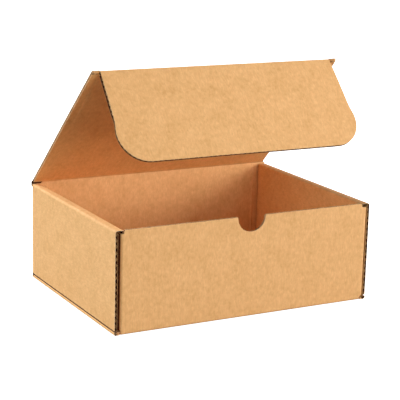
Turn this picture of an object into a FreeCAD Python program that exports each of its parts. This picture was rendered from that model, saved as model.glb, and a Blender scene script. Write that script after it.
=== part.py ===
"""Corrugated mailer box, folded from one die-cut blank of single-wall board, with its lid part open.

Three solids: the tray (floor, front and rear walls with their ears, double side walls), the lid on the
rear wall's top crease, and the tuck flap on the lid's front crease.

Frame: millimetres, +X to the right, +Y to the rear, +Z up, origin at the middle of the underside.
"""
import FreeCAD
import Part

import math
import os

# Outside of the folded tray
box_width = 301.0
box_depth = 222.0
box_height = 108.0

# Board
board = 3.0
fold_radius = 2.6
pocket_radius = 0.8

# Double side walls, with the ears of the front and rear walls held between their two layers
ear_clearance = 0.45
end_setback = 0.8
ear_length = 54.0
ear_top_drop = 1.5
panel_clearance = 0.5

# Locking tabs under the inner panels, and their slots in the floor
tab_length = 46.0
tab_spacing = 104.0
tab_clearance = 0.35
tab_recess = 0.4

# Scored groove along the outside of each side wall's bottom fold
groove_radius = 0.7
groove_height = 3.7

# Thumb notch in the front wall
notch_radius = 16.5
notch_offset = 4.0

# Lid
lid_width = 293.0
lid_length = 211.0
lid_open_angle = 43.0
hinge_gap = 0.3

# Tuck flap
flap_length = 102.0
flap_fold_angle = 95.0
flap_root_inset = 12.0
flap_neck_inset = 9.5
flap_neck_length = 55.0
flap_shoulder_length = 66.0
flap_side_clearance = 0.5
flap_corner_radius = 31.0
flap_mitre = 1.2

# Sizes that follow
half_width = box_width / 2
half_depth = box_depth / 2
rim_width = 3 * board + 2 * ear_clearance
ear_offset = board + ear_clearance
ear_top = box_height - board - ear_top_drop
inner_half_width = half_width - rim_width
hinge_y = half_depth - board / 2
hinge_z = box_height + hinge_gap + board / 2
flap_half_width = inner_half_width - flap_side_clearance
lid_half_width = lid_width / 2

X_AXIS = FreeCAD.Vector(1, 0, 0)
Y_AXIS = FreeCAD.Vector(0, 1, 0)
Z_AXIS = FreeCAD.Vector(0, 0, 1)


def block(x, y, z):
    """A box between the given pairs of limits."""
    corner = FreeCAD.Vector(x[0], y[0], z[0])
    return Part.makeBox(x[1] - x[0], y[1] - y[0], z[1] - z[0], corner)


def rounded_outline(corners):
    """A closed wire through corners, each a point and the radius that rounds it, or 0 for a sharp one."""
    entries = []
    exits = []
    arcs = []
    count = len(corners)
    for index, (point, radius) in enumerate(corners):
        before = corners[index - 1][0]
        after = corners[(index + 1) % count][0]
        if radius == 0:
            entries.append(point)
            exits.append(point)
            arcs.append(None)
            continue
        towards_before = (before - point).normalize()
        towards_after = (after - point).normalize()
        half_angle = towards_before.getAngle(towards_after) / 2
        tangent_length = radius / math.tan(half_angle)
        bisector = (towards_before + towards_after).normalize()
        centre = point + bisector * (radius / math.sin(half_angle))
        entry = point + towards_before * tangent_length
        leave = point + towards_after * tangent_length
        middle = centre - bisector * radius
        entries.append(entry)
        exits.append(leave)
        arcs.append(Part.Arc(entry, middle, leave).toShape())
    edges = []
    for index in range(count):
        if arcs[index] is not None:
            edges.append(arcs[index])
        start = exits[index]
        end = entries[(index + 1) % count]
        if (end - start).Length > 1e-6:
            edges.append(Part.makeLine(start, end))
    return Part.Wire(edges)


def prism(corners, along):
    """A solid with the rounded outline of corners, drawn out along a vector."""
    return Part.Face(rounded_outline(corners)).extrude(along)


def mirrored_in_x(shape):
    """The shape's mirror image on the other side of the box."""
    return shape.mirror(FreeCAD.Vector(0, 0, 0), X_AXIS)


def on_both_sides(shape):
    """The shape and its mirror image."""
    return [shape, mirrored_in_x(shape)]


def floor():
    """The floor, wide between the side folds and deep between the front and rear folds."""
    level = (0, board)
    side_reach = half_width - board
    side_fold_reach = half_depth - end_setback
    front_reach = half_depth - board
    front_fold_reach = half_width - ear_offset
    across = block((-side_reach, side_reach), (-side_fold_reach, side_fold_reach), level)
    along = block((-front_fold_reach, front_fold_reach), (-front_reach, front_reach), level)
    return across.fuse(along)


def side_wall():
    """The left wall: an outer panel, the flat rim that rolls over, and the inner panel down to the floor."""
    outer = -half_width
    inner = outer + rim_width
    start = -half_depth + end_setback
    end = half_depth - end_setback
    panel_foot = board + tab_recess

    def at(x, z):
        return FreeCAD.Vector(x, start, z)

    section = [
        (at(outer, 0), fold_radius),
        (at(outer, box_height), fold_radius),
        (at(inner, box_height), fold_radius),
        (at(inner, panel_foot), 0),
        (at(inner - board, panel_foot), 0),
        (at(inner - board, box_height - board), pocket_radius),
        (at(outer + board, box_height - board), pocket_radius),
        (at(outer + board, board), 0),
        (at(outer + board, 0), 0),
    ]
    wall = prism(section, Y_AXIS * (end - start))
    # The inner panel stands between the front and rear walls, under a rim that reaches over both
    panel_reach = half_depth - board - panel_clearance
    below_rim = (0, box_height - board)
    beside_ears = (outer + board + pocket_radius, inner)
    front_relief = block(beside_ears, (-half_depth, -panel_reach), below_rim)
    rear_relief = block(beside_ears, (panel_reach, half_depth), below_rim)
    foot_of_panel = (inner - board, inner)
    tabs = [
        block(foot_of_panel, (centre - tab_length / 2, centre + tab_length / 2), (tab_recess, panel_foot))
        for centre in (-tab_spacing / 2, tab_spacing / 2)
    ]
    groove_start = FreeCAD.Vector(outer, -half_depth, groove_height)
    groove = Part.makeCylinder(groove_radius, box_depth, groove_start, Y_AXIS)
    return wall.cut([front_relief, rear_relief, groove]).fuse(tabs)


def tab_slots():
    """The slots in the floor under the left wall's locking tabs."""
    inner = -half_width + rim_width
    across = (inner - board - tab_clearance, inner + tab_clearance)
    reach = tab_length / 2 + tab_clearance
    return [
        block(across, (centre - reach, centre + reach), (0, board))
        for centre in (-tab_spacing / 2, tab_spacing / 2)
    ]


def wall_with_ears(face, inward):
    """A wall whose outer face is at y = face, with an ear folded inward at each end, up to under the rims."""
    outer = half_width - ear_offset
    inside = face + inward * board
    ear_end = face + inward * ear_length
    ear_foot = board + tab_recess

    def at(x, y, z):
        return FreeCAD.Vector(x, y, z)

    upper = [
        (at(-outer, face, ear_foot), fold_radius),
        (at(outer, face, ear_foot), fold_radius),
        (at(outer, ear_end, ear_foot), 0),
        (at(outer - board, ear_end, ear_foot), 0),
        (at(outer - board, inside, ear_foot), 0),
        (at(-outer + board, inside, ear_foot), 0),
        (at(-outer + board, ear_end, ear_foot), 0),
        (at(-outer, ear_end, ear_foot), 0),
    ]
    fold = [
        (at(-outer, face, 0), fold_radius),
        (at(-outer, inside, 0), 0),
        (at(-outer, inside, ear_foot), 0),
        (at(-outer, face, ear_foot), 0),
    ]
    walls = prism(upper, Z_AXIS * (ear_top - ear_foot))
    foot = prism(fold, X_AXIS * (2 * outer))
    # The foot's ends carry on the wall's rounded upright folds
    end_plan = [
        (at(-outer, face, 0), fold_radius),
        (at(outer, face, 0), fold_radius),
        (at(outer, inside, 0), 0),
        (at(-outer, inside, 0), 0),
    ]
    foot = foot.common(prism(end_plan, Z_AXIS * ear_foot))
    return walls.fuse(foot)


def front_wall():
    """The single front wall: full height between the rims, with the half-round thumb notch."""
    face = -half_depth
    reach = inner_half_width - ear_clearance
    upper = block((-reach, reach), (face, face + board), (ear_top, box_height))
    notch_axis = FreeCAD.Vector(notch_offset, face - board, box_height)
    notch = Part.makeCylinder(notch_radius, 3 * board, notch_axis, Y_AXIS)
    return wall_with_ears(face, 1).fuse(upper).cut(notch)


def rear_wall():
    """The rear wall: between the rims it runs up to the lid's crease, which reaches over both rims."""
    face = half_depth
    reach = inner_half_width - ear_clearance
    thickness = (face - board, face)
    neck = block((-reach, reach), thickness, (ear_top, hinge_z))
    head = block((-lid_half_width, lid_half_width), thickness, (box_height + hinge_gap, hinge_z))
    crease_start = FreeCAD.Vector(-lid_half_width, hinge_y, hinge_z)
    crease = Part.makeCylinder(board / 2, lid_width, crease_start, X_AXIS)
    return wall_with_ears(face, -1).fuse([neck, head, crease])


def make_tray():
    """The folded tray in one solid."""
    pieces = [front_wall(), rear_wall()] + on_both_sides(side_wall())
    base = floor().cut([slot for left in tab_slots() for slot in on_both_sides(left)])
    return base.fuse(pieces).removeSplitter()


def on_the_hinge(shape):
    """A shape drawn flat, hinge line at the origin and front towards -Y, raised to the open lid's place."""
    shape.rotate(FreeCAD.Vector(0, 0, 0), X_AXIS, -lid_open_angle)
    shape.translate(FreeCAD.Vector(0, hinge_y, hinge_z))
    return shape


def make_lid():
    """The lid panel, with the tuck flap's crease along its front edge."""
    root = board / 2 + hinge_gap
    panel = block((-lid_half_width, lid_half_width), (-lid_length, -root), (-board / 2, board / 2))
    crease_start = FreeCAD.Vector(-lid_half_width, -lid_length, 0)
    crease = Part.makeCylinder(board / 2, lid_width, crease_start, X_AXIS)
    return on_the_hinge(panel.fuse(crease).removeSplitter())


def make_tuck_flap():
    """The tuck flap: straight sides, a wider shoulder and large rounded corners."""
    root = board / 2 + hinge_gap
    root_half_width = lid_half_width - flap_root_inset
    neck_half_width = lid_half_width - flap_neck_inset

    def at(x, reach):
        return FreeCAD.Vector(x, -reach, -board / 2)

    outline = [
        (at(-root_half_width, root), 0),
        (at(-neck_half_width, flap_neck_length), 0),
        (at(-flap_half_width, flap_shoulder_length), 0),
        (at(-flap_half_width, flap_length), flap_corner_radius),
        (at(flap_half_width, flap_length), flap_corner_radius),
        (at(flap_half_width, flap_shoulder_length), 0),
        (at(neck_half_width, flap_neck_length), 0),
        (at(root_half_width, root), 0),
    ]
    flap = prism(outline, Z_AXIS * board)
    # The inner half of the root is mitred, so that the flap can fold in past square
    mitre = [
        (FreeCAD.Vector(-lid_half_width, -root, 0), 0),
        (FreeCAD.Vector(-lid_half_width, -root, -board), 0),
        (FreeCAD.Vector(-lid_half_width, -root - 2 * flap_mitre, -board), 0),
    ]
    flap = flap.cut(prism(mitre, X_AXIS * lid_width))
    flap.rotate(FreeCAD.Vector(0, 0, 0), X_AXIS, flap_fold_angle)
    flap.translate(FreeCAD.Vector(0, -lid_length, 0))
    return on_the_hinge(flap)


def main():
    os.makedirs("parts", exist_ok=True)
    nodes = {"tray": make_tray(), "lid": make_lid(), "tuck_flap": make_tuck_flap()}
    for name, shape in nodes.items():
        print(name, len(shape.Solids), "solid, valid", shape.isValid(), "volume", round(shape.Volume))
        shape.exportStep("parts/" + name + ".step")


main()
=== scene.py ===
"""The corrugated mailer box, dressed as three-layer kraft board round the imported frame.

Every panel is built as board is: two liner sheets with a fluted sheet between them that shows at the cut
edges. Lengths are written in millimetres and turned to metres where a point is made.
"""
import math

import bmesh
import bpy
from mathutils import Matrix, Vector, noise


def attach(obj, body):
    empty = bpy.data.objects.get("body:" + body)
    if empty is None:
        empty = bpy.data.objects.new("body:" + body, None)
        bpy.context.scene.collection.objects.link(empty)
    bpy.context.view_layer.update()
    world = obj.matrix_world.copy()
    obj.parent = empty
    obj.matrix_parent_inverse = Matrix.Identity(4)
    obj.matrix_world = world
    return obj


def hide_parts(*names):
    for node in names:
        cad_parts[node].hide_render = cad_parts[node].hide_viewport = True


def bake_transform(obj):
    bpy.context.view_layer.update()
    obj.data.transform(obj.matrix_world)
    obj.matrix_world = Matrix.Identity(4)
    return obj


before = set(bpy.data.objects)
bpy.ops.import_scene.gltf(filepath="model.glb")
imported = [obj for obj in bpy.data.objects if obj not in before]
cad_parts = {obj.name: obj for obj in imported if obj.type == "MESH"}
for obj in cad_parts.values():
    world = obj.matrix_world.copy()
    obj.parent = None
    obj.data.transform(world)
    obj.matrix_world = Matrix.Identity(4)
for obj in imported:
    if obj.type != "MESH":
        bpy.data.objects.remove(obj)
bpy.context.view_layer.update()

MM = 0.001

# Folded tray, as in the part's source
box_width = 301.0
box_depth = 222.0
box_height = 108.0
board = 3.0
fold_radius = 2.6
pocket_radius = 0.8
ear_clearance = 0.45
ear_length = 54.0
ear_top_drop = 1.5
panel_clearance = 0.5
tab_length = 46.0
tab_spacing = 104.0
tab_clearance = 0.35
tab_recess = 0.4
notch_radius = 16.5
notch_offset = 4.0

# Lid and tuck flap, as in the part's source
lid_width = 293.0
lid_length = 211.0
lid_open_angle = math.radians(43.0)
hinge_gap = 0.3
flap_length = 102.0
flap_fold_angle = math.radians(95.0)
flap_root_inset = 12.0
flap_neck_inset = 9.5
flap_neck_length = 55.0
flap_shoulder_length = 66.0
flap_side_clearance = 0.5
flap_corner_radius = 31.0

# How the side walls' cut ends and grooves lie in the photograph
front_setback = 0.15
rear_setback = 4.4
panel_setback = 0.7
rim_tear = 5.0
panel_sink = 0.9
groove_height = 4.5
groove_half_width = 0.9
groove_sink = 2.0
groove_rows_top = 6.6
groove_end = 2.0
# How far from the rear end the groove's painted shade reaches
groove_end_shade_reach = 3.4
foot_middle = 1.8
foot_swell = 0.55
side_bow = 0.22
side_bow_start = 8.0

# How the front and rear walls' corners are crushed: fold_left and fold_right say how deep and how far back
corner_start = 139.2
fold_breadth = 6.0
fold_left = (2.9, 1.9)
fold_right = (0.5, 0.9)
fold_top = 104.6
fold_foot_start = 143.4
crush_reach = 14.0
score_inset = 7.0
score_depth = 0.5
hinge_shoulder = 149.6
shoulder_foot = 104.8
upright_bow = 0.25
top_wear = 1.6
ear_foot_rise = 1.2

# How the lid and the tuck flap lie, racked and folded a little askew
crease_reach = 3.4
rear_spread = 1.35
front_spread = -2.0
rear_lean = 1.35
front_lean = 2.8
lug_root = 138.0
lug_overhang = 1.3
lug_crush = 0.5
lug_reach = 8.0
flap_spread = 1.2
flap_lean = 2.8
flap_swing = 2.9
flap_swing_reach = 85.0
flap_fray = 1.2
panel_bow = 0.5

# Sizes that follow
half_width = box_width / 2
half_depth = box_depth / 2
half_board = board / 2
side_front = half_depth - front_setback
side_rear = half_depth - rear_setback
rim_width = 3 * board + 2 * ear_clearance
inner_half_width = half_width - rim_width
ear_half_width = half_width - board - ear_clearance
neck_half_width = inner_half_width - ear_clearance
lid_half_width = lid_width / 2
flap_root_half_width = lid_half_width - flap_root_inset + flap_spread
flap_neck_half_width = lid_half_width - flap_neck_inset + flap_spread
flap_half_width = inner_half_width - flap_side_clearance
flap_corner_start = flap_length - flap_corner_radius
ear_top = box_height - board - ear_top_drop
panel_foot = board + tab_recess
panel_reach = half_depth - board - panel_clearance - panel_setback
fold_start = ear_half_width - fold_breadth
hinge = Vector((0.0, half_depth - half_board, box_height + hinge_gap + half_board))

# The board's make-up
liner = 0.35
edge_recess = 6.0
flute_pitch = 6.3
flute_sheet = 0.4
flute_height = (board - 2 * liner - flute_sheet) / 2

# The board's materials by slot: its face, its cut edge, the shade between the liners, the fluted sheet
# and the face inside the box, which is the face with painted shade, deeper and warmer
face_slot, cut_slot, shade_slot, core_slot, inside_painted_shade_slot = range(5)

# Directions along and across the open lid and the tuck flap
lid_out = Vector((0.0, -math.cos(lid_open_angle), math.sin(lid_open_angle)))
lid_up = Vector((0.0, math.sin(lid_open_angle), math.cos(lid_open_angle)))
flap_turn = Matrix.Rotation(flap_fold_angle, 3, "X")
flap_out = flap_turn @ lid_out
flap_up = flap_turn @ lid_up
flap_axis = hinge + lid_out * lid_length


def spread(start, end, step):
    """Evenly spaced numbers from start to end, no further apart than step."""
    count = max(1, math.ceil(abs(end - start) / step))
    return [start + (end - start) * k / count for k in range(count + 1)]


def ease(start, end, value):
    """0 up to start, 1 from end on, and a smooth rise between them."""
    share = max(0.0, min(1.0, (value - start) / (end - start)))
    return share * share * (3 - 2 * share)


def wander(place, size, seed):
    """A smooth random number from -1 to 1 that changes over about size millimetres."""
    return noise.noise(Vector(place) / size + Vector((seed * 7.31, seed * 3.17, seed * 1.93)))


def ragged(along, seed, share=0.0):
    """How far a cut edge strays from its line, in millimetres, at a distance along it. The two liners stray
    each in its own way."""
    seed += 1 if share >= 0.5 else 0
    return 0.10 * wander((along, 0.0, 0.0), 11.0, seed) + 0.16 * wander((along, 5.0, 0.0), 2.2, seed + 20)


# Meshes


def add_object(name, data):
    """A new object in the scene."""
    made = bpy.data.objects.new(name, data)
    bpy.context.scene.collection.objects.link(made)
    return made


def finish_mesh(name, work):
    """The bmesh as a piece of board whose place is in its mesh, smooth but for its sharp edges."""
    mesh = bpy.data.meshes.new(name)
    bmesh.ops.recalc_face_normals(work, faces=work.faces)
    work.to_mesh(mesh)
    work.free()
    mesh.shade_smooth()
    mesh.set_sharp_from_angle(angle=math.radians(32.0))
    for material in board_materials:
        mesh.materials.append(material)
    return add_object(name, mesh)


def add_face(work, corners, places, slot):
    """A face between corners, with each corner's place in the flat blank as UV."""
    uv_layer = work.loops.layers.uv.verify()
    face = work.faces.new(corners)
    face.material_index = slot
    for loop in face.loops:
        loop[uv_layer].uv = places[loop.vert]


def add_slab(work, near, far, blank, near_slot, far_slot, edge_slot):
    """A closed sheet between two grids of points of the same size, laid out flat by a third."""
    work.loops.layers.uv.verify()
    places = {}
    grids = []
    for grid in (near, far):
        made = []
        for line, flat_line in zip(grid, blank):
            verts = [work.verts.new(point * MM) for point in line]
            places.update(zip(verts, flat_line))
            made.append(verts)
        grids.append(made)
    top, bottom = grids
    rows = len(near)
    columns = len(near[0])
    for i in range(rows - 1):
        for j in range(columns - 1):
            ring = ((i, j), (i + 1, j), (i + 1, j + 1), (i, j + 1))
            add_face(work, [top[a][b] for a, b in ring], places, near_slot)
            add_face(work, [bottom[a][b] for a, b in reversed(ring)], places, far_slot)
    border = [(i, 0) for i in range(rows)]
    border += [(rows - 1, j) for j in range(1, columns)]
    border += [(i, columns - 1) for i in range(rows - 2, -1, -1)]
    border += [(0, j) for j in range(columns - 2, -1, -1)]
    for (i, j), (k, m) in zip(border[:-1], border[1:]):
        add_face(work, (top[i][j], bottom[i][j], bottom[k][m], top[k][m]), places, edge_slot)


def board_sheet(name, sheet_at, blank, recess=edge_recess, hollow=shade_slot, inner_edge=cut_slot,
                inner_face=face_slot):
    """Two liners and the set-back core between them. sheet_at(inset, share) gives the grid of points at a
    share of the thickness from the outer face, drawn in by inset from the cut edges, and blank their places
    in the flat. The core starts recess behind the cut edges. hollow is the slot of what shows between the
    liners, inner_edge that of the inner liner's cut edge and inner_face that of its face."""
    work = bmesh.new()
    skin = liner / board
    add_slab(work, sheet_at(0.0, 0.0), sheet_at(0.0, skin), blank, face_slot, hollow, cut_slot)
    add_slab(work, sheet_at(0.0, 1 - skin), sheet_at(0.0, 1.0), blank, hollow, inner_face, inner_edge)
    add_slab(work, sheet_at(recess, skin), sheet_at(recess, 1 - skin), blank, hollow, hollow, hollow)
    return finish_mesh(name, work)


def arc(centre, radius, start, end, count):
    """Points on an arc, angles in degrees."""
    angles = [math.radians(start + (end - start) * k / count) for k in range(count + 1)]
    return [(centre[0] + radius * math.cos(turn), centre[1] + radius * math.sin(turn)) for turn in angles]


def between(a, b, count):
    """Points from a to b."""
    return [(a[0] + (b[0] - a[0]) * k / count, a[1] + (b[1] - a[1]) * k / count) for k in range(count + 1)]


def curve(a, b, c, count):
    """Points on the smooth bend from a to c that heads for b at first."""
    points = []
    for k in range(count + 1):
        share = k / count
        shares = ((1 - share) ** 2, 2 * share * (1 - share), share * share)
        points.append(tuple(shares[0] * p + shares[1] * q + shares[2] * r for p, q, r in zip(a, b, c)))
    return points


def paired(outer, inner):
    """Stations of a folded section, each with its outer and its inner point, without repeats."""
    stations = []
    for pair in zip(outer, inner):
        if not stations or pair != stations[-1]:
            stations.append(pair)
    return stations


def lengths_along(stations):
    """The distance along the middle of a folded section at each of its stations."""
    lengths = [0.0]
    for (a, b), (c, d) in zip(stations[:-1], stations[1:]):
        step_x = (c[0] + d[0] - a[0] - b[0]) / 2
        step_y = (c[1] + d[1] - a[1] - b[1]) / 2
        lengths.append(lengths[-1] + math.hypot(step_x, step_y))
    return lengths


def add_node(tree, kind, inputs=None, **settings):
    """A node with its settings, and with each input linked or set."""
    made = tree.nodes.new(kind)
    for name, value in settings.items():
        setattr(made, name, value)
    for key, value in (inputs or {}).items():
        socket = made.inputs[key]
        if isinstance(value, bpy.types.NodeSocket):
            tree.links.new(value, socket)
        else:
            socket.default_value = value
    return made


def linear(hex_colour):
    """An sRGB hex colour as linear red, green, blue and alpha."""
    channels = []
    for k in (0, 2, 4):
        value = int(hex_colour[k : k + 2], 16) / 255
        channels.append(value / 12.92 if value <= 0.04045 else ((value + 0.055) / 1.055) ** 2.4)
    return (*channels, 1.0)


def math_node(tree, operation, first, second=0.0):
    """The result of a sum on one or two numbers."""
    return add_node(tree, "ShaderNodeMath", {0: first, 1: second}, operation=operation).outputs[0]


def noise_node(tree, place, size, detail, roughness=0.5):
    """A soft random pattern with patches of about size millimetres."""
    inputs = {"Vector": place, "Scale": 1 / (size * MM), "Detail": detail, "Roughness": roughness}
    return add_node(tree, "ShaderNodeTexNoise", inputs).outputs["Fac"]


def share_node(tree, pattern, low, high, most):
    """How much of a pattern shows: none up to low, most of it from high on."""
    inputs = {"Value": pattern, "From Min": low, "From Max": high, "To Min": 0.0, "To Max": most}
    return add_node(tree, "ShaderNodeMapRange", inputs).outputs[0]


def two_tones(tree, pattern, low, dark, high, light):
    """A pattern turned to colour, from dark at low to light at high."""
    ramp = add_node(tree, "ShaderNodeValToRGB", {"Fac": pattern})
    for element, position, colour in zip(ramp.color_ramp.elements, (low, high), (dark, light)):
        element.position = position
        element.color = linear(colour)
    return ramp.outputs["Color"]


def laid_over(tree, share, under, over, blend="MIX"):
    """A colour with a share of another laid over it."""
    inputs = {"Factor": share, "A": under, "B": over}
    return add_node(tree, "ShaderNodeMix", inputs, data_type="RGBA", blend_type=blend).outputs["Result"]


# Materials


def new_material(name, roughness, specular):
    """A material with its node tree and its shader."""
    material = bpy.data.materials.new(name)
    material.use_nodes = True
    shader = material.node_tree.nodes["Principled BSDF"]
    shader.inputs["Roughness"].default_value = roughness
    shader.inputs["Specular IOR Level"].default_value = specular
    return material, material.node_tree, shader


cloud_size = 22.22
blotch_size = 5.263
# A real pulp fibre is about 0.03 mm by 2 mm and a speck 0.2 mm, too fine to show, so both are drawn coarser
fibre_breadth = 1.613
fibre_length = 5.263
speck_size = 1.111
ridge_height = 0.06
fibre_height = 0.12


def kraft_liner(name, tone):
    """Unbleached kraft liner, rolled and uncoated: matt, with clouds and short fibres of darker and lighter
    pulp, and the flutes showing through as faint ridges. tone multiplies its colour."""
    material, tree, shader = new_material(name, 0.72, 0.3)
    place = add_node(tree, "ShaderNodeTexCoord").outputs
    fibre_scale = (1 / (fibre_breadth * MM), 1 / (fibre_length * MM), 1.0)
    stretched = add_node(tree, "ShaderNodeMapping", {"Vector": place["UV"], "Scale": fibre_scale})
    clouds = noise_node(tree, place["Object"], cloud_size, 4.0, 0.55)
    blotches = noise_node(tree, place["Object"], blotch_size, 3.0, 0.6)
    fibres = noise_node(tree, stretched.outputs[0], 1 / MM, 3.0, 0.7)
    specks = noise_node(tree, place["Object"], speck_size, 1.0)
    colour = two_tones(tree, clouds, 0.33, "DDA464", 0.67, "ECB374")
    colour = laid_over(tree, share_node(tree, blotches, 0.3, 0.7, 0.65), colour, linear("F8C585"))
    colour = laid_over(tree, share_node(tree, fibres, 0.35, 0.75, 0.55), colour, linear("CC9354"))
    colour = laid_over(tree, share_node(tree, specks, 0.68, 0.76, 0.25), colour, linear("8F5F34"))
    colour = laid_over(tree, 1.0, colour, (*tone, 1.0), "MULTIPLY")
    across = add_node(tree, "ShaderNodeSeparateXYZ", {"Vector": place["UV"]}).outputs["X"]
    ridge = math_node(tree, "SINE", math_node(tree, "MULTIPLY", across, 2 * math.pi / (flute_pitch * MM)))
    ridge_bump = add_node(
        tree, "ShaderNodeBump", {"Strength": 0.35, "Distance": ridge_height * MM, "Height": ridge}
    )
    bump = add_node(
        tree, "ShaderNodeBump",
        {"Strength": 0.5, "Distance": fibre_height * MM, "Height": fibres, "Normal": ridge_bump.outputs[0]},
    )
    tree.links.new(colour, shader.inputs["Base Color"])
    tree.links.new(bump.outputs[0], shader.inputs["Normal"])
    return material


def plain_kraft(name, dark, light, size, roughness):
    """Plain kraft in two tones in small patches, dull: raw paper where it was cut, the fluted sheet, and the
    painted shade between the liners.
    """
    material, tree, shader = new_material(name, roughness, 0.2)
    place = add_node(tree, "ShaderNodeTexCoord").outputs["Object"]
    colour = two_tones(tree, noise_node(tree, place, size, 2.0), 0.35, dark, 0.65, light)
    tree.links.new(colour, shader.inputs["Base Color"])
    return material


kraft = kraft_liner("kraft_liner", (1.0, 1.0, 1.0))
# A copy of the liner, a shade deeper and warmer, for the faces inside the box: painted shade
kraft_inside_painted_shade = kraft_liner("kraft_liner_inside_painted_shade", (1.03, 0.90, 0.74))
# The cut edge of a liner shows clean pulp, lighter than the rolled face
cut_liner = plain_kraft("cut_liner_edge", "EABD88", "FADCAF", 1.429, 0.9)
# The fluted sheet is thinner and browner than the liners
fluted_sheet = plain_kraft("fluted_sheet", "A47545", "CB9B66", 2.0, 0.9)
# Deep between the liners hardly any light comes back
flute_shade = plain_kraft("flute_shade", "4A2712", "5E331A", 3.333, 1.0)
board_materials = [kraft, cut_liner, flute_shade, fluted_sheet, kraft_inside_painted_shade]


# Side walls: outer panel, rim and inner panel in one folded section, with the flutes from front to back


def groove_depth(z):
    """How far the scored groove draws the outer face in, at a height."""
    offset = abs(z - groove_height) / groove_half_width
    return groove_sink * math.sqrt(1 - offset ** 3) if offset < 1 else 0.0


def foot_bulge(z):
    """How far the strip below the groove stands out, at a height."""
    offset = abs(z - foot_middle) / foot_middle
    return foot_swell * (1 - offset * offset) if offset < 1 else 0.0


def torn_back(across):
    """How far the rim's lower liner is torn back at its ends, at a distance across the rim."""
    return rim_tear * ease(0.6, 3.0, across)


def on_inner_panel(a):
    """Whether a station of a side wall's section lies on its inner panel."""
    return a[0] > -half_width + rim_width - fold_radius / 2 and a[1] < box_height - fold_radius / 2


def end_reach(a, share, end):
    """How far a side wall's board goes toward the front or the rear at a station of its section."""
    wall = side_front if end < 0 else side_rear
    across = a[0] + half_width
    if across < fold_radius and a[1] < box_height - fold_radius:
        return wall
    inner = ease(box_height, box_height - fold_radius, a[1]) if across > rim_width / 2 else 0.0
    torn = torn_back(across) if share > 0.5 else 0.0
    return min(wall + (panel_reach - wall) * inner, wall - torn * (1 - inner))


def side_section():
    """Stations of the left wall's section in x and z, from the floor's fold up, over and down."""
    outer = -half_width
    inner = outer + rim_width
    inside = outer + board
    beside = inner - board
    rim = box_height - fold_radius
    under_rim = box_height - board
    pocket = under_rim - pocket_radius
    inner_rows_top = groove_rows_top + 0.2
    outer_run = [(outer, z) for z in spread(fold_radius, groove_rows_top, 0.12)]
    path = [(inside, 0.0)] + arc((outer + fold_radius, fold_radius), fold_radius, -90, -180, 8) + outer_run
    mate = [(inside, board)] * 10 + between((inside, board), (inside, inner_rows_top), len(outer_run) - 1)
    path += between((outer, groove_rows_top), (outer, rim), 96)
    mate += between((inside, inner_rows_top), (inside, pocket), 96)
    path += arc((outer + fold_radius, rim), fold_radius, 180, 90, 8)
    mate += arc((inside + pocket_radius, pocket), pocket_radius, 180, 90, 8)
    path += between((outer + fold_radius, box_height), (inner - fold_radius, box_height), 6)
    mate += between((inside + pocket_radius, under_rim), (beside - pocket_radius, under_rim), 6)
    path += arc((inner - fold_radius, rim), fold_radius, 90, 0, 8)
    mate += arc((beside - pocket_radius, pocket), pocket_radius, 90, 0, 8)
    path += between((inner, rim), (inner, panel_foot), 60)
    mate += between((beside, pocket), (beside, panel_foot), 60)
    return paired(path, mate)


side_stations = side_section()
side_lengths = lengths_along(side_stations)
# Columns from front to rear, closer where the inner panels sink past the ears
ear_edge = (half_depth - ear_length) / panel_reach
ear_edge_steps = (-0.022, -0.014, -0.007, 0.0, 0.007, 0.014, 0.022)
depth_shares = spread(-1.0, 1.0, 0.09) + [1 - groove_end_shade_reach / side_rear, 1 - groove_end / side_rear]
depth_shares += [end * ear_edge + step for end in (-1, 1) for step in ear_edge_steps]
depth_shares = sorted(set(depth_shares))


def inner_panel_sink(y, z):
    """How far the inner panel sinks toward the outer one, where no ear lies between them."""
    sink = panel_sink * (1 - ease(-3.0, 1.0, abs(y) - (half_depth - ear_length)))
    return sink * (1 - ease(box_height - 22.0, box_height - 4.0, z)) * ease(8.0, 24.0, z)


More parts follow.
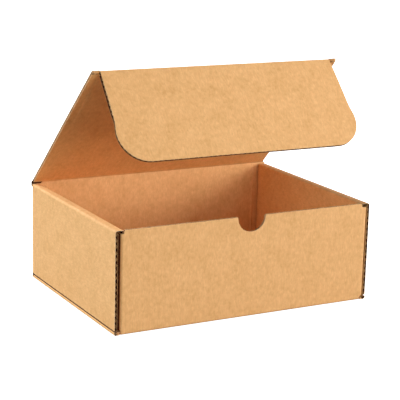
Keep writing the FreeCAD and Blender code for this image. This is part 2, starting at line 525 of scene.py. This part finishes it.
def side_wall(side):
    """The left wall for side -1, the right wall for side 1."""

    def sheet_at(inset, share):
        grid = []
        for (a, b), length in zip(side_stations, side_lengths):
            near_foot = a[0] <= -half_width + fold_radius and a[1] < groove_rows_top
            over_foot = a[1] - side_bow_start if a[0] == -half_width else 0.0
            line = []
            for column in depth_shares:
                end = 1 if column > 0 else -1
                reach = end_reach(a, share, end) - inset
                if inset > 0:
                    reach -= torn_back(a[0] + half_width) * ease(box_height - 4.0, box_height, a[1])
                stray = ragged(length, 1 + side + end) if abs(column) == 1.0 and inset == 0 else 0.0
                y = column * reach + end * stray * 0.6
                outside = Vector((a[0], y, a[1]))
                inside = Vector((b[0], y, b[1]))
                if near_foot:
                    filled = ease(side_rear - groove_end, side_rear - groove_end / 2, y)
                    groove = groove_depth(a[1]) * (1 - filled) * (1.0 if share < 0.3 else 0.8)
                    outside.x += groove - foot_bulge(a[1])
                shift = 0.0
                if over_foot > 0:
                    shift = side_bow * wander((0.0, y, a[1]), 70.0, 3 + side) * min(1.0, over_foot / 20)
                elif on_inner_panel(a):
                    shift = -inner_panel_sink(y, a[1])
                place = outside.lerp(inside, share)
                place.x = -side * (place.x + shift)
                line.append(place)
            grid.append(line)
        return grid

    name = "side_wall_left" if side < 0 else "side_wall_right"
    flat_columns = [column * side_front * MM for column in depth_shares]
    blank = [[(length * MM, y) for y in flat_columns] for length in side_lengths]
    wall = board_sheet(name, sheet_at, blank, inner_edge=core_slot)
    for polygon in wall.data.polygons:
        middle = polygon.center / MM
        drawn_in = half_width - abs(middle.x)
        if polygon.material_index != face_slot:
            continue
        # The groove's floor gets the dark shade material, and so does a patch at its rear end that stands for
        # a dark hole: painted shade
        in_groove = groove_depth(middle.z) > 1.0 and drawn_in > 0.7
        at_end = middle.y > side_rear - groove_end_shade_reach and abs(middle.z - groove_height) < 1.5
        if drawn_in < board and (in_groove or at_end):
            polygon.material_index = shade_slot
        # The inner panel takes the liner copy with painted shade, deeper and warmer
        elif drawn_in > rim_width - 1.3 and middle.z < box_height - 1.0:
            polygon.material_index = inside_painted_shade_slot
    return wall


# Front and rear walls: each with an ear folded in at both ends, with the flutes running up


def wall_runs(notched):
    """Stations along the straight part of a wall, closer at its corners and round the notch."""
    if notched:
        left = notch_offset - notch_radius
        right = notch_offset + notch_radius
        runs = spread(-fold_start, -corner_start, 0.2) + spread(-corner_start + 0.3, left, 1.0)
        runs += [notch_offset - notch_radius * math.cos(math.radians(a)) for a in range(4, 180, 4)]
        return runs + spread(right, corner_start - 0.3, 1.0) + spread(corner_start, fold_start, 0.2)
    middle = neck_half_width - 12.0
    runs = spread(-fold_start, -middle, 0.6) + spread(-middle + 1.0, middle - 1.0, 4.0)
    return runs + spread(middle, fold_start, 0.6)


def wall_section(face, notched):
    """Stations in x and y of a wall with its ears, from the left ear's end to the right one's."""
    inward = -1 if face > 0 else 1
    ear_end = face + inward * ear_length
    straight = face + inward * crush_reach
    ears = []
    for deep, back in (fold_left, fold_right):
        path = between((-ear_half_width, ear_end), (-ear_half_width, straight), 12)
        mate = between((-ear_half_width + board, ear_end), (-ear_half_width + board, straight), 12)
        nose = (deep, back)
        outer_fold = curve((0.0, crush_reach), (deep * 0.8, crush_reach / 2), nose, 10)
        outer_fold += curve(nose, (deep + 0.6, 0.0), (fold_breadth, 0.0), 10)
        hollow = (board + deep * 0.3, back + 1.7)
        inner_fold = curve((board, crush_reach), (board + deep * 0.15, crush_reach / 2), hollow, 10)
        inner_fold += curve(hollow, (board + deep * 0.4, board), (fold_breadth, board), 10)
        for (a, b), (c, d) in zip(outer_fold, inner_fold):
            path.append((-ear_half_width + a, face + inward * b))
            mate.append((-ear_half_width + c, face + inward * d))
        ears.append((path, mate))
    path, mate = ears[0]
    for x in wall_runs(notched):
        path.append((x, face))
        mate.append((x, face + inward * board))
    path += [(-x, y) for x, y in reversed(ears[1][0])]
    mate += [(-x, y) for x, y in reversed(ears[1][1])]
    return paired(path, mate)


def wall_top(x, notched):
    """The height of a wall's cut upper edge: the wall's with its notch, the corner folds', then the ears'."""
    out = abs(x)
    offset = x - notch_offset
    top = box_height if notched else shoulder_foot
    if notched and abs(offset) < notch_radius:
        return top - math.sqrt(notch_radius * notch_radius - offset * offset)
    if out <= corner_start:
        return top
    if out < fold_start:
        share = (out - corner_start) / (fold_start - corner_start)
        return fold_top + (top - fold_top) * math.sqrt(1 - share * share)
    return fold_top - min(1.0, (out - fold_start) / fold_breadth) * (fold_top - ear_top)


low_rows = [0.0, 0.3, 0.75, 1.3, 1.9, 2.6, 3.4]
upper_rows = 10


def upright_wall(name, face, notched):
    """A wall with its ears, its foot rounded into the floor's fold."""
    stations = wall_section(face, notched)
    inward = -1 if face > 0 else 1

    def sheet_at(inset, share):
        grid = []
        for (a, b), length in zip(stations, lengths_along(stations)):
            on_ear = abs(a[0]) > fold_foot_start
            top = wall_top(a[0], notched)
            if inset == 0 and notched and abs(a[0]) < corner_start:
                top += ragged(length, 9, share) * top_wear
            foot = panel_foot + ear_foot_rise if on_ear else 0.0
            levels = [foot + row * (0.5 if on_ear else 1.0) for row in low_rows]
            low = levels[-1]
            levels += [low + (top - inset - low) * k / upper_rows for k in range(1, upper_rows + 1)]
            line = []
            for k, z in enumerate(levels):
                outside = Vector((a[0], a[1], z))
                inside = Vector((b[0], b[1], z))
                if not on_ear and z < fold_radius:
                    rise = fold_radius - z
                    draw = fold_radius - math.sqrt(fold_radius * fold_radius - rise * rise)
                    outside += (inside - outside).normalized() * draw
                if k >= len(low_rows):
                    bow = upright_bow * wander((a[0], 0.0, z), 80.0, 5 if notched else 6)
                    bow *= math.sin(math.pi * min(1.0, z / box_height))
                    bow *= max(0.0, min(1.0, (corner_start - abs(a[0])) / 12.0))
                    beside_score = abs(a[0]) - inner_half_width + score_inset
                    score = 0.0 if notched else score_depth * math.exp(-(beside_score ** 2))
                    outside.y += inward * bow
                    inside.y += inward * (bow + score)
                line.append(outside.lerp(inside, share))
            grid.append(line)
        return grid

    rows = low_rows + [10.0 * k for k in range(1, upper_rows + 1)]
    blank = [[(length * MM, z * MM) for z in rows] for length in lengths_along(stations)]
    wall = board_sheet(name, sheet_at, blank, 1.0, core_slot)
    for polygon in wall.data.polygons:
        middle = polygon.center / MM
        behind = half_depth - abs(middle.y)
        # The ears' faces that show through the slot beside the side walls' cut ends get the shade material:
        # painted shade
        if abs(middle.x) > ear_half_width - board - 0.2 and 2.2 < behind < crush_reach:
            polygon.material_index = shade_slot
    return wall


# Floor


def add_floor_lump(work, end):
    """The rounded bit of the floor's fold that shows in a front corner, under the open end of the ear."""
    left, right = 144.5, 147.0
    profile = ((3.0, 2.3), (1.2, 2.2), (0.5, 1.7), (0.3, 1.0))
    foot = 0.3
    top = []
    bottom = []
    for k in range(7):
        x = end * (left + (right - left) * k / 6)
        swell = math.sqrt(max(0.0, 1 - (2 * k / 6 - 1) ** 4))
        top.append([Vector((x, back - half_depth, foot + (z - foot) * swell)) for back, z in profile])
        bottom.append([Vector((x, back - half_depth, foot - 0.05)) for back, z in profile])
    blank = [[(point.x * MM, point.y * MM) for point in row] for row in top]
    add_slab(work, top, bottom, blank, face_slot, face_slot, face_slot)


def floor_panel():
    """The floor as one sheet with the slots for the locking tabs."""
    slot_in = inner_half_width - tab_clearance
    slot_out = inner_half_width + board + tab_clearance
    reach = tab_length / 2 + tab_clearance
    near = tab_spacing / 2 - reach
    far = tab_spacing / 2 + reach
    edge = half_depth - fold_radius
    side = half_width - board
    across = sorted(set(spread(-slot_in, slot_in, 12.0) + [-side, -slot_out, slot_out, side]))
    stops = (-edge, -far, -near, near, far, edge)
    along = sorted({y for a, b in zip(stops[:-1], stops[1:]) for y in spread(a, b, 9.0)})
    work = bmesh.new()
    work.loops.layers.uv.verify()
    low, high = (
        [[work.verts.new(Vector((x, y, z)) * MM) for y in along] for x in across] for z in (0.0, board)
    )
    places = {vert: vert.co.xy for vert in work.verts}

    def solid(i, j):
        if i < 0 or j < 0 or i >= len(across) - 1 or j >= len(along) - 1:
            return False
        x = abs(across[i] + across[i + 1]) / 2
        y = abs(along[j] + along[j + 1]) / 2
        return not (slot_in < x < slot_out and near < y < far)

    for i in range(len(across) - 1):
        for j in range(len(along) - 1):
            if not solid(i, j):
                continue
            ring = ((i, j), (i + 1, j), (i + 1, j + 1), (i, j + 1))
            beyond = ((i, j - 1), (i + 1, j), (i, j + 1), (i - 1, j))
            add_face(work, [high[a][b] for a, b in ring], places, face_slot)
            add_face(work, [low[a][b] for a, b in reversed(ring)], places, face_slot)
            for (a, b), (c, d), cell in zip(ring, ring[1:] + ring[:1], beyond):
                if not solid(*cell):
                    add_face(work, (low[a][b], low[c][d], high[c][d], high[a][b]), places, cut_slot)
    loose = [vert for vert in work.verts if not vert.link_faces]
    bmesh.ops.delete(work, geom=loose, context="VERTS")
    for end in (-1, 1):
        add_floor_lump(work, end)
    return finish_mesh("floor_panel", work)


# A locking tab's heights, each with how far its sides are cut in there
tab_profile = ((panel_foot + 0.3, 0.0), (2.0, 0.0), (1.0, 0.6), (tab_recess, 1.6))


def locking_tabs():
    """The tabs that stand in the floor's slots."""
    work = bmesh.new()
    for side in (-1, 1):
        for middle in (-tab_spacing / 2, tab_spacing / 2):
            columns = spread(middle - tab_length / 2, middle + tab_length / 2, 6.0)
            sheets = []
            for x in (inner_half_width, inner_half_width + board):
                grid = []
                for level, cut in tab_profile:
                    shrink = 1 - 2 * cut / tab_length
                    grid.append([Vector((side * x, middle + (y - middle) * shrink, level)) for y in columns])
                sheets.append(grid)
            blank = [[(level * MM, y * MM) for y in columns] for level, cut in tab_profile]
            add_slab(work, sheets[0], sheets[1], blank, face_slot, face_slot, cut_slot)
    return finish_mesh("locking_tabs", work)


# Lid and tuck flap


def flap_shift(out):
    """How far the tuck flap stands to the right at a distance from its crease."""
    return flap_swing * math.sin(math.pi / 2 * min(1.0, out / flap_swing_reach)) - flap_lean


def flap_fray_at(out):
    """How far the tuck flap's inner liner stands out past the outer one on the left."""
    return flap_fray * (1 - ease(38.0, 64.0, out))


def on_lid(x, out, up):
    """A point of the lid, by its distance out from the hinge axis and its height over the mid-plane."""
    share = out / lid_length
    half = lid_half_width + rear_spread + (front_spread - rear_spread) * share
    lean = rear_lean + (front_lean - rear_lean) * share
    return Vector((x * half / lid_half_width - lean, 0.0, 0.0)) + hinge + lid_out * out + lid_up * up


def on_flap(x, out, up):
    """The same for the tuck flap, from the crease at the lid's front edge."""
    return Vector((x + flap_shift(out), 0.0, 0.0)) + flap_axis + flap_out * out + flap_up * up


def lid_panel():
    """The lid between its two creases, with a lug at each front corner beside the flap's root."""
    lug_columns = spread(lug_root, lid_half_width, 1.5)
    between_lugs = spread(-lug_root + 0.01, lug_root - 0.01, 5.0)
    across = [-x for x in reversed(lug_columns)] + between_lugs + lug_columns
    tip = lid_length + lug_overhang
    shares = spread(0.0, 1.0, 0.006)

    def sheet_at(inset, share):
        grid = []
        up = half_board - share * board
        for x in across:
            lug = abs(x) >= lug_root
            end = tip - inset if lug else lid_length - crease_reach
            if lug and inset == 0:
                end += ragged(x, 31, share)
            line = []
            for along in shares:
                out = crease_reach + (end - crease_reach) * along
                here = x
                if lug:
                    kept = (lid_half_width - inset - lug_root) / (lid_half_width - lug_root)
                    here = math.copysign(lug_root + (abs(x) - lug_root) * kept, x)
                if abs(x) == lid_half_width and inset == 0:
                    here += math.copysign(ragged(out, 33, share), x)
                bow = panel_bow * math.sin(math.pi * along) * wander((x, out, 0.0), 110.0, 8)
                if lug:
                    crushed = max(0.0, 1 - (tip - out) / lug_reach)
                    bow += share * board * lug_crush * crushed * crushed
                line.append(on_lid(here, out, up + bow))
            grid.append(line)
        return grid

    blank = [[(x * MM, lid_length * along * MM) for along in shares] for x in across]
    # The lid's underside takes the liner copy with painted shade, deeper and warmer
    return board_sheet("lid_panel", sheet_at, blank, 0.7, core_slot, inner_face=inside_painted_shade_slot)


def flap_half_width_at(out, inset=0.0):
    """Half the tuck flap's width at a distance from its crease."""
    if out <= flap_corner_start:
        share = min(1.0, out / flap_shoulder_length)
        straight = flap_root_half_width + (flap_neck_half_width - flap_root_half_width) * share
        swell = ease(flap_neck_length, flap_corner_start, out)
        return straight + (flap_half_width - straight) * swell - inset
    radius = flap_corner_radius - inset
    rise = min(radius, out - flap_corner_start)
    return flap_half_width - flap_corner_radius + math.sqrt(radius * radius - rise * rise)


def flap_outs(inset):
    """Distances from the crease where the tuck flap has a row of points."""
    radius = flap_corner_radius - inset
    outs = spread(crease_reach, flap_corner_start, 1.2)
    return outs + [flap_corner_start + radius * math.sin(math.radians(a)) for a in spread(2.5, 90.0, 2.5)]


def tuck_flap_panel():
    """The tuck flap with its rounded corners."""
    shares = spread(-1.0, 1.0, 0.022)

    def sheet_at(inset, share):
        grid = []
        up = half_board - share * board
        outs = flap_outs(inset)
        for row, out in enumerate(outs):
            half = flap_half_width_at(out, inset)
            line = []
            for column in shares:
                x = column * half
                here = out
                if inset == 0 and abs(column) == 1.0:
                    x += math.copysign(ragged(out, 41, share), column)
                if column < -0.99 and share > 0.5:
                    x -= flap_fray_at(out)
                if inset == 0 and row == len(outs) - 1:
                    here += ragged(x, 43, share)
                bow = panel_bow * wander((x, out, 0.0), 90.0, 9) * min(1.0, (out - crease_reach) / 20)
                line.append(on_flap(x, here, up + bow))
            grid.append(line)
        return grid

    blank = [
        [(column * flap_half_width_at(out) * MM, (lid_length + out) * MM) for column in shares]
        for out in flap_outs(0.0)
    ]
    # The flap's inner face takes the liner copy with painted shade, deeper and warmer
    return board_sheet("tuck_flap_panel", sheet_at, blank, inner_edge=core_slot, inner_face=inside_painted_shade_slot)


def crease_strip(name, before, axis, after, turn, span_at, reaches, shaded):
    """The bent strip over a crease. before and after are the directions along the two panels, each with the
    direction of its outer face; turn is the bend between them; reaches is how far the strip goes along each
    panel; shaded is whether its inner corner, where it lies over the left rim, gets painted shade."""
    out_a, up_a = before
    out_b, up_b = after
    reach_a, reach_b = reaches
    reach = half_board * math.tan(turn / 2)
    pinch = half_board / math.cos(turn / 2)
    bisector = (up_a + up_b).normalized()
    outer = []
    inner = []
    row_step = 0.7
    for out in spread(-reach_a, 0.0, row_step):
        outer.append(axis + out_a * out + up_a * half_board)
        inner.append(axis + out_a * min(out, -reach) - up_a * half_board)
    for k in range(1, 8):
        share = k / 8
        ray = up_a.lerp(up_b, share).normalized()
        outer.append(axis + ray * half_board)
        inner.append(axis - bisector * pinch)
    for out in spread(0.0, reach_b, row_step):
        outer.append(axis + out_b * out + up_b * half_board)
        inner.append(axis + out_b * max(out, reach) - up_b * half_board)
    count = 56

    def sheet_at(inset, share):
        grid = []
        for k, (a, b) in enumerate(zip(outer, inner)):
            left, right = span_at(k / (len(outer) - 1))
            place = a.lerp(b, share)
            columns = [left + inset + (right - left - 2 * inset) * j / count for j in range(count + 1)]
            grid.append([place + Vector((x, 0.0, 0.0)) for x in columns])
        return grid

    blank = [
        [(lid_half_width * (2 * j / count - 1) * MM, k * row_step * MM) for j in range(count + 1)]
        for k in range(len(outer))
    ]
    strip = board_sheet(name, sheet_at, blank)
    pinched = axis - bisector * pinch
    # Over the left rim the crease's inner corner gets the shade material: painted shade
    for polygon in strip.data.polygons:
        middle = polygon.center / MM
        over_rim = middle.x < -inner_half_width
        if shaded and over_rim and (middle - pinched - Vector((middle.x, 0.0, 0.0))).length < 1.4:
            polygon.material_index = shade_slot
    return strip


# The fluted sheet where it shows at the cut edges

drift_size = 10.53


def fluted_edge_tree():
    """Geometry Nodes that turn an edge's line into the wavy strip of the fluted sheet behind it."""
    tree = bpy.data.node_groups.new("fluted_edge", "GeometryNodeTree")
    tree.interface.new_socket(name="Edge line", in_out="INPUT", socket_type="NodeSocketGeometry")
    for name in ("Pitch", "Height", "Depth", "Wobble", "Bias", "Gain"):
        tree.interface.new_socket(name=name, in_out="INPUT", socket_type="NodeSocketFloat")
    tree.interface.new_socket(name="Paper", in_out="INPUT", socket_type="NodeSocketMaterial")
    tree.interface.new_socket(name="Flutes", in_out="OUTPUT", socket_type="NodeSocketGeometry")
    start = add_node(tree, "NodeGroupInput").outputs
    edge = add_node(tree, "GeometryNodeMeshToCurve", {"Mesh": start["Edge line"]}).outputs[0]
    step = math_node(tree, "DIVIDE", start["Pitch"], 12.0)
    even = add_node(tree, "GeometryNodeResampleCurve", {"Curve": edge, "Length": step}, mode="LENGTH")
    length = add_node(tree, "GeometryNodeSplineParameter").outputs["Length"]
    where = add_node(tree, "GeometryNodeInputPosition").outputs[0]
    drift = math_node(tree, "SUBTRACT", noise_node(tree, where, drift_size, 1.0), 0.5)
    turns = math_node(tree, "DIVIDE", length, start["Pitch"])
    phase = math_node(tree, "ADD", turns, math_node(tree, "MULTIPLY", drift, start["Wobble"]))
    wave = math_node(tree, "SINE", math_node(tree, "MULTIPLY", phase, 2 * math.pi))
    steep = math_node(tree, "MULTIPLY", math_node(tree, "ADD", wave, start["Bias"]), start["Gain"])
    flat = add_node(tree, "ShaderNodeClamp", {"Value": steep, "Min": -1.0, "Max": 1.0})
    swing = math_node(tree, "MULTIPLY", flat.outputs[0], start["Height"])
    kept = []
    for label in ("across", "inward"):
        read = add_node(tree, "GeometryNodeInputNamedAttribute", {"Name": label}, data_type="FLOAT_VECTOR")
        kept.append(read.outputs["Attribute"])
    across, inward = kept
    offset = add_node(tree, "ShaderNodeVectorMath", {0: across, "Scale": swing}, operation="SCALE")
    waved = add_node(
        tree, "GeometryNodeSetPosition", {"Geometry": even.outputs[0], "Offset": offset.outputs[0]}
    )
    wire = add_node(tree, "GeometryNodeCurveToMesh", {"Curve": waved.outputs[0]})
    drawn = add_node(
        tree, "GeometryNodeExtrudeMesh",
        {"Mesh": wire.outputs[0], "Offset": inward, "Offset Scale": start["Depth"]}, mode="EDGES",
    )
    real = add_node(tree, "GeometryNodeRealizeInstances", {"Geometry": drawn.outputs["Mesh"]})
    dressed = add_node(
        tree, "GeometryNodeSetMaterial", {"Geometry": real.outputs[0], "Material": start["Paper"]}
    )
    add_node(tree, "NodeGroupOutput", {"Flutes": dressed.outputs[0]})
    return tree


flute_tree = fluted_edge_tree()


def flutes(name, lines, pitch, height=flute_height, bias=0.0, gain=1.0, set_back=0.1):
    """The fluted sheet behind cut edges. Each line is a list of (place, across, inward). bias and gain
    flatten the waves as the knife did, so that wide and narrow openings take turns."""
    points = []
    edges = []
    across = []
    inward = []
    for line in lines:
        first = len(points)
        for place, over, into in line:
            points.append((place + into * set_back) * MM)
            across += list(over)
            inward += list(into)
        edges += [(k, k + 1) for k in range(first, len(points) - 1)]
    mesh = bpy.data.meshes.new(name)
    mesh.from_pydata(points, edges, [])
    for label, values in (("across", across), ("inward", inward)):
        mesh.attributes.new(label, "FLOAT_VECTOR", "POINT").data.foreach_set("vector", values)
    source = add_object(name + "_line", mesh)
    modifier = source.modifiers.new("flutes", "NODES")
    modifier.node_group = flute_tree
    values = {
        "Pitch": pitch * MM,
        "Height": height * MM,
        "Depth": (edge_recess + 0.4) * MM,
        "Wobble": 0.35,
        "Bias": bias,
        "Gain": gain,
        "Paper": fluted_sheet,
    }
    for item in flute_tree.interface.items_tree:
        if item.in_out == "INPUT" and item.name in values:
            modifier[item.identifier] = values[item.name]
    thickness = source.modifiers.new("paper", "SOLIDIFY")
    thickness.thickness = flute_sheet * MM
    thickness.offset = 0.0
    bpy.context.view_layer.update()
    evaluated = source.evaluated_get(bpy.context.evaluated_depsgraph_get())
    made_mesh = bpy.data.meshes.new_from_object(evaluated)
    made_mesh.name = name
    made = add_object(name, made_mesh)
    bpy.data.objects.remove(source)
    made_mesh.shade_smooth()
    for label in ("across", "inward"):
        if label in made_mesh.attributes:
            made_mesh.attributes.remove(made_mesh.attributes[label])
    return made


def side_edge_lines():
    """The cut ends of both side walls' outer panels and rims, front and rear."""
    lines = []
    for side in (-1, 1):
        for end in (-1, 1):
            line = []
            for a, b in side_stations:
                if on_inner_panel(a) or a[0] > -half_width + 0.9:
                    continue
                middle = Vector(((a[0] + b[0]) / 2, 0.0, (a[1] + b[1]) / 2))
                over = Vector((b[0] - a[0], 0.0, b[1] - a[1])) / board
                if line and (middle - Vector((-side * line[-1][0].x, 0.0, line[-1][0].z))).length < 0.2:
                    continue
                middle.x *= -side
                over.x *= -side
                middle.y = -side_front if end < 0 else side_rear
                line.append((middle, over, Vector((0.0, -end, 0.0))))
            lines.append(line)
    return lines


def front_edge_lines():
    """The front wall's cut upper edge, down and round the thumb notch."""
    over = Vector((0.0, 1.0, 0.0))
    down = Vector((0.0, 0.0, -1.0))
    middle = Vector((0.0, -half_depth + half_board, box_height))
    left = spread(-neck_half_width, notch_offset - notch_radius, 2.0)
    right = spread(notch_offset + notch_radius, neck_half_width, 2.0)
    line = [(middle + Vector((x, 0.0, 0.0)), over, down) for x in left]
    for angle in range(6, 180, 6):
        ray = Vector((-math.cos(math.radians(angle)), 0.0, -math.sin(math.radians(angle))))
        line.append((middle + Vector((notch_offset, 0.0, 0.0)) + ray * notch_radius, over, ray))
    return [line + [(middle + Vector((x, 0.0, 0.0)), over, down) for x in right]]


def lid_edge_lines():
    """The lid's two cut sides, and the cut front edges of its two lugs."""
    tip = lid_length + lug_overhang
    lift = board * lug_crush / 2
    sides = []
    lugs = []
    for side in (-1, 1):
        inward = Vector((-side, 0.0, 0.0))
        outs = spread(crease_reach, tip, 2.0)
        columns = spread(lid_half_width, lug_root, 1.0)
        sides.append([(on_lid(side * lid_half_width, out, 0.0), lid_up, inward) for out in outs])
        lugs.append([(on_lid(side * x, tip, lift), lid_up, -lid_out) for x in columns])
    return sides, lugs


def flap_edge_line():
    """The tuck flap's cut outline from one end of its crease round to the other."""
    lower = flap_half_width - flap_corner_radius
    sides = []
    for side in (-1, 1):
        run = []
        for out in spread(crease_reach, flap_corner_start, 1.5):
            reach = flap_half_width_at(out) + (flap_fray_at(out) / 2 if side < 0 else 0.0)
            run.append((on_flap(side * reach, out, 0.0), flap_up, Vector((-side, 0.0, 0.0))))
        for angle in spread(3.0, 90.0, 3.0):
            over = math.cos(math.radians(angle))
            down = math.sin(math.radians(angle))
            out = flap_corner_start + flap_corner_radius * down
            place = on_flap(side * (lower + flap_corner_radius * over), out, 0.0)
            run.append((place, flap_up, Vector((-side * over, 0.0, 0.0)) - flap_out * down))
        sides.append(run)
    line = sides[0]
    for x in spread(-lower, lower, 3.0)[1:-1]:
        line.append((on_flap(x, flap_length, 0.0), flap_up, -flap_out))
    line += reversed(sides[1])
    return [line]


# Assembly

tray_pieces = [
    side_wall(-1),
    side_wall(1),
    upright_wall("front_wall", -half_depth, True),
    upright_wall("rear_wall", half_depth, False),
    floor_panel(),
    locking_tabs(),
    flutes("side_wall_flutes", side_edge_lines(), flute_pitch, set_back=0.9),
    flutes("front_wall_flutes", front_edge_lines(), flute_pitch),
]
lid_sides, lug_ends = lid_edge_lines()
lid_pieces = [
    lid_panel(),
    flutes("lid_flutes", lid_sides, 5.2, flute_height, -0.35, 2.0),
    flutes("lug_flutes", lug_ends, 3.6, flute_height * (1 - lug_crush)),
]
flap_pieces = [
    tuck_flap_panel(),
    flutes("tuck_flap_flutes", flap_edge_line(), 5.6, flute_height, -0.2, 1.6, 0.6),
]

for piece in tray_pieces:
    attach(piece, "tray")
for piece in lid_pieces:
    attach(piece, "lid")
for piece in flap_pieces:
    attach(piece, "tuck_flap")

rear_up = Vector((0.0, 0.0, 1.0))
rear_out = Vector((0.0, 1.0, 0.0))
lid_turn = math.pi / 2 - lid_open_angle
hinge_start = hinge.z - shoulder_foot


def hinge_span(share):
    """The hinge strip is widest behind the ends of the rims and narrows to the lid's width."""
    share = ease(0.5, 0.9, share)
    left = hinge_shoulder + 0.6
    left += (lid_half_width + rear_spread + rear_lean - left) * share
    right = hinge_shoulder + (lid_half_width + rear_spread - rear_lean - hinge_shoulder) * share
    return -left, right


def flap_root_span(share):
    """The strip over the tuck flap's crease is as wide as the flap's root."""
    return -flap_root_half_width - flap_lean, flap_root_half_width - flap_lean


hinge_crease = crease_strip(
    "lid_crease", (rear_up, rear_out), hinge, (lid_out, lid_up), lid_turn,
    hinge_span, (hinge_start, crease_reach), True,
)
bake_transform(hinge_crease)

flap_crease = crease_strip(
    "tuck_flap_crease", (lid_out, lid_up), flap_axis, (flap_out, flap_up), flap_fold_angle,
    flap_root_span, (crease_reach, crease_reach), False,
)
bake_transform(flap_crease)

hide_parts("tray")
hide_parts("lid")
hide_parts("tuck_flap")


# Floor, light and camera


floor_reach = 6.0
floor_level = -0.0002


def studio_floor():
    """A wide white floor that stays white to the camera and keeps the box's soft shadow."""
    mesh = bpy.data.meshes.new("studio_floor")
    ring = ((-1, -1), (1, -1), (1, 1), (-1, 1))
    mesh.from_pydata([(x * floor_reach, y * floor_reach, floor_level) for x, y in ring], [], [(0, 1, 2, 3)])
    material = bpy.data.materials.new("studio_floor_white")
    material.use_nodes = True
    tree = material.node_tree
    tree.nodes.clear()
    to_camera = add_node(tree, "ShaderNodeLightPath").outputs["Is Camera Ray"]
    seen = add_node(tree, "ShaderNodeBsdfDiffuse", {"Color": (0.80, 0.80, 0.80, 1.0)})
    lift = add_node(tree, "ShaderNodeEmission", {"Color": (1.0, 1.0, 1.0, 1.0), "Strength": 0.93})
    bright = add_node(tree, "ShaderNodeAddShader", {0: seen.outputs[0], 1: lift.outputs[0]})
    bounced = add_node(tree, "ShaderNodeBsdfDiffuse", {"Color": (0.35, 0.35, 0.35, 1.0)})
    mixed = add_node(
        tree, "ShaderNodeMixShader", {0: to_camera, 1: bounced.outputs[0], 2: bright.outputs[0]}
    )
    add_node(tree, "ShaderNodeOutputMaterial", {"Surface": mixed.outputs[0]})
    mesh.materials.append(material)
    made = add_object("studio_floor", mesh)


def studio_world(strength):
    """Even light from all round, white to the camera and in reflections."""
    world = bpy.data.worlds.new("studio")
    bpy.context.scene.world = world
    world.use_nodes = True
    tree = world.node_tree
    tree.nodes.clear()
    path = add_node(tree, "ShaderNodeLightPath").outputs
    shown = math_node(tree, "MAXIMUM", path["Is Camera Ray"], path["Is Glossy Ray"])
    level = add_node(tree, "ShaderNodeMapRange", {"Value": shown, "To Min": strength, "To Max": 1.0})
    sky = add_node(
        tree, "ShaderNodeBackground", {"Color": (1.0, 1.0, 1.0, 1.0), "Strength": level.outputs[0]}
    )
    add_node(tree, "ShaderNodeOutputWorld", {"Surface": sky.outputs[0]})


lamp_size = 1.5
lamp_distance = 3.0
lamp_aim = Vector((0.0, 0.0, 0.08))


def lamp(name, azimuth, elevation, power, tint):
    """A square soft lamp aimed at the box, from an azimuth counted from the front to the right."""
    data = bpy.data.lights.new(name, "AREA")
    data.shape = "SQUARE"
    data.size = lamp_size
    data.energy = power
    data.color = tint
    turn = math.radians(azimuth)
    tilt = math.radians(elevation)
    toward = Vector((math.sin(turn) * math.cos(tilt), -math.cos(turn) * math.cos(tilt), math.sin(tilt)))
    made = add_object(name, data)
    made.location = lamp_aim + toward * lamp_distance
    made.rotation_euler = toward.to_track_quat("Z", "Y").to_euler()
    made.visible_camera = False


studio_floor()
studio_world(0.08)
neutral = (1.0, 1.0, 1.03)
cool = (1.0, 1.14, 1.30)
lamp("side_lamp", -95.0, 15.0, 32.0, cool)
lamp("side_front_lamp", -70.0, 20.0, 10.0, cool)
lamp("side_top_lamp", -100.0, 58.0, 10.5, cool)
lamp("front_lamp", 10.0, 9.0, 39.0, neutral)
lamp("right_lamp", 62.0, 16.0, 79.0, neutral)
lamp("rear_lamp", -150.0, 35.0, 74.0, neutral)

# Camera, from the fit of the box's corners in the photograph
view_azimuth = math.radians(-28.7166)
view_elevation = math.radians(13.7262)
view_roll = math.radians(1.5282)
view_distance = 1524.199
view_across = 5.3496
view_rise = 97.2168
focal_pixels = 1371.0481
picture_pixels = 400.0
sensor_width = 36.0
camera_data = bpy.data.cameras.new("camera")
camera_data.sensor_width = sensor_width
camera_data.lens = focal_pixels * sensor_width / picture_pixels
camera_data.clip_start = 0.05
camera_data.clip_end = 50.0
camera = add_object("camera", camera_data)
camera.matrix_world = (
    Matrix.Rotation(view_azimuth, 4, "Z")
    @ Matrix.Rotation(math.pi / 2 - view_elevation, 4, "X")
    @ Matrix.Rotation(view_roll, 4, "Z")
    @ Matrix.Translation(Vector((view_across, view_rise, view_distance)) * MM)
)
bpy.context.scene.camera = camera
bpy.context.scene.view_settings.view_transform = "Standard"
